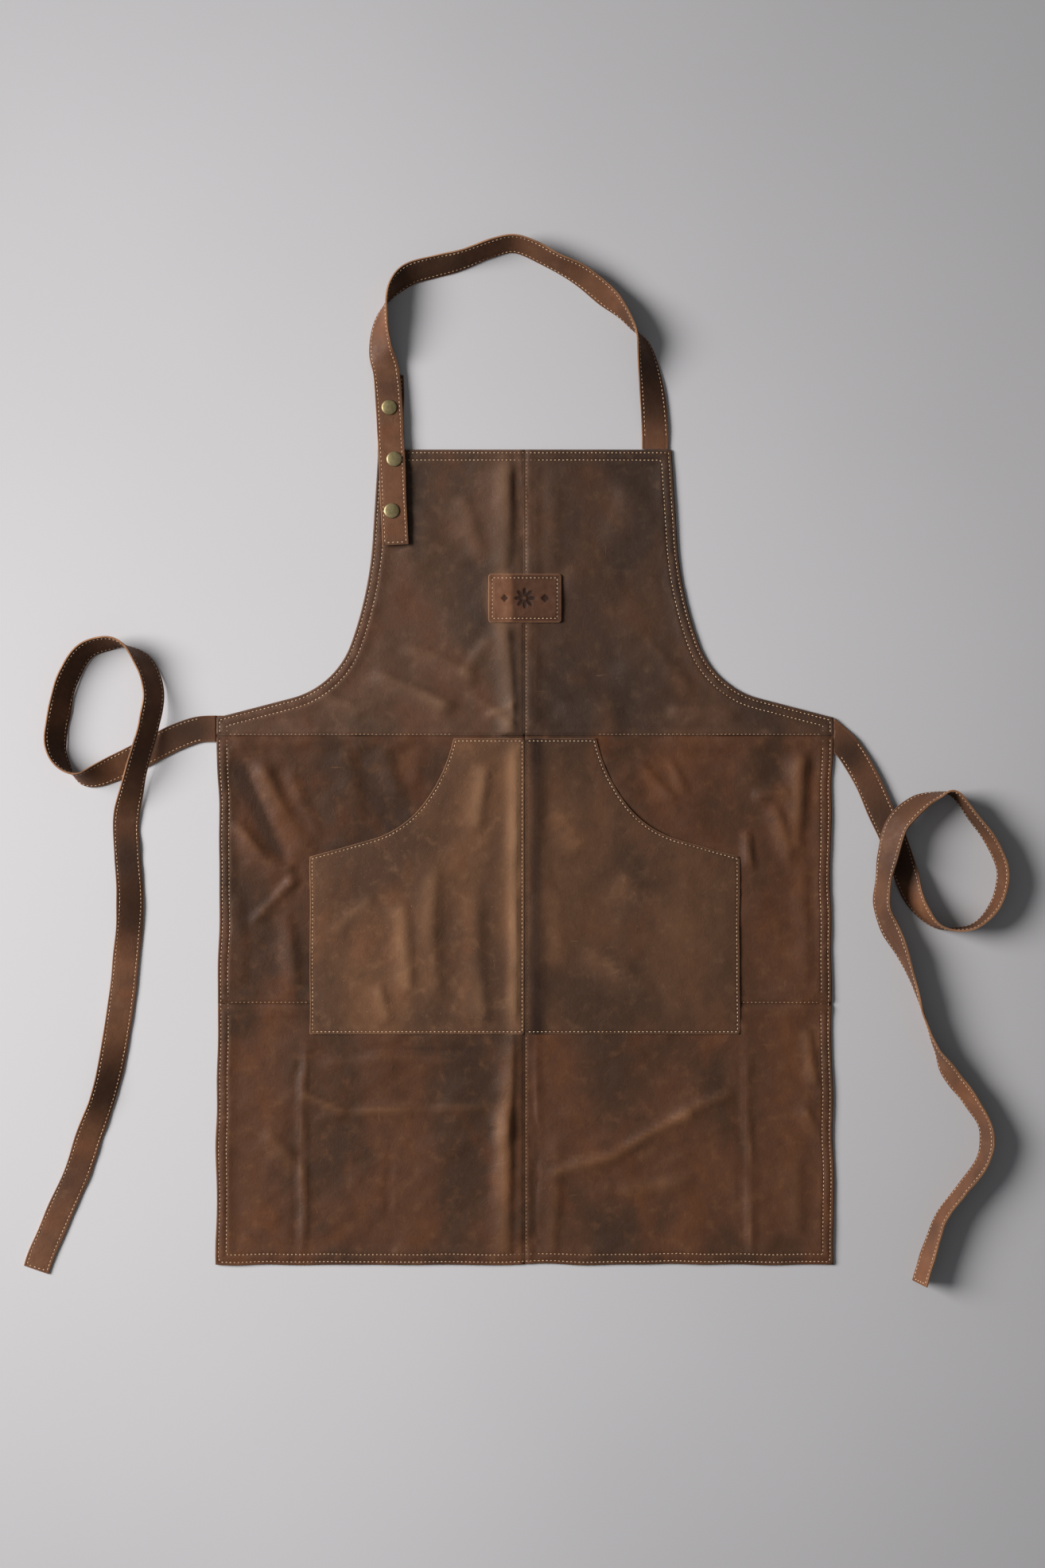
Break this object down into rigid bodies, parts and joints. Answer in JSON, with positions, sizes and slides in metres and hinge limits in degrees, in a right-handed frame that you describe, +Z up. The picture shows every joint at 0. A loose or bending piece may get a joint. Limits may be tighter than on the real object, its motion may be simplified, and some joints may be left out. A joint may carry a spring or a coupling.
{
  "type": "butcher apron",
  "caption": "Leather butcher apron laid flat, with bib, kangaroo pocket, snap-adjusted neck strap and long waist ties.",
  "frame": {"origin": "where the centre seam crosses the waist seam, on the surface the apron lies on", "axes": "+Z up out of the apron's front face, +Y towards the neck, +X to the apron's right as seen from its front"},
  "size_m": [0.971, 1.035, 0.0302],
  "materials": {
    "body_leather": "oiled, distressed, matt to satin",
    "pocket_leather": "nubuck-like, matt",
    "patch_leather": "embossed, satin",
    "strap_leather": "oiled, satin, raw edges",
    "lining_leather": "flesh side, matt",
    "thread": "twisted cotton-wrapped thread",
    "snap_brass": "antiqued",
    "spring_steel": "bright wire"
  },
  "bodies": {
    "bib": {"bib_panel_left": "body_leather", "bib_panel_right": "body_leather", "patch": "patch_leather", "patch_thread": "thread", "bib_hem_thread": "thread", "bib_seam_thread": "thread", "neck_strap_root": "lining_leather", "neck_tab_root": "lining_leather", "tie_left_root": "lining_leather", "tie_right_root": "lining_leather"},
    "skirt": {"waist_panel_left": "body_leather", "waist_panel_right": "body_leather", "skirt_panel_left": "body_leather", "skirt_panel_right": "body_leather", "pocket_left": "pocket_leather", "pocket_right": "pocket_leather", "pocket_thread": "thread", "skirt_hem_thread": "thread", "skirt_seam_thread": "thread"},
    "neck_tab": {"neck_tab_face": "strap_leather", "neck_tab_lining": "lining_leather", "neck_tab_thread": "thread", "snap_stud": "snap_brass", "snap_eyelet": "snap_brass"},
    "neck_strap": {"neck_strap_face": "strap_leather", "neck_strap_lining": "lining_leather", "neck_strap_thread": "thread", "snap_cap_upper": "snap_brass", "snap_socket_upper": "snap_brass", "snap_spring_upper": "spring_steel"},
    "strap_tail": {"neck_strap_tail_face": "strap_leather", "neck_strap_tail_lining": "lining_leather", "neck_strap_tail_thread": "thread", "snap_cap_lower": "snap_brass", "snap_socket_lower": "snap_brass", "snap_spring_lower": "spring_steel"},
    "tie_left": {"tie_left_face": "strap_leather", "tie_left_lining": "lining_leather", "tie_left_thread": "thread"},
    "tie_right": {"tie_right_face": "strap_leather", "tie_right_lining": "lining_leather", "tie_right_thread": "thread"}
  },
  "joints": [
    {"name": "waist_fold", "type": "hinge", "parent": "bib", "child": "skirt", "pos_m": [0, 0, 0.0028], "axis": [-1, 0, 0], "range_deg": [0, 90]},
    {"name": "neck_fold", "type": "hinge", "parent": "bib", "child": "neck_tab", "pos_m": [0, 0.283, 0.008], "axis": [1, 0, 0], "range_deg": [0, 90]},
    {"name": "snap_release", "type": "hinge", "parent": "neck_tab", "child": "neck_strap", "pos_m": [0.143, 0.283, 0], "axis": [0, 1, 0], "range_deg": [0, 25]},
    {"name": "tail_fold", "type": "hinge", "parent": "neck_strap", "child": "strap_tail", "pos_m": [-0.132, 0.283, 0.008], "axis": [-1, 0, 0], "range_deg": [0, 90]},
    {"name": "tie_left_swing", "type": "hinge", "parent": "bib", "child": "tie_left", "pos_m": [-0.305, 0.007, 0.0028], "axis": [0, 1, 0], "range_deg": [0, 60]},
    {"name": "tie_right_swing", "type": "hinge", "parent": "bib", "child": "tie_right", "pos_m": [0.305, 0.001, 0.0028], "axis": [0, -1, 0], "range_deg": [0, 60]}
  ],
  "couplings": [
    {"joint": "tail_fold", "follows": "neck_fold", "ratio": 1}
  ]
}
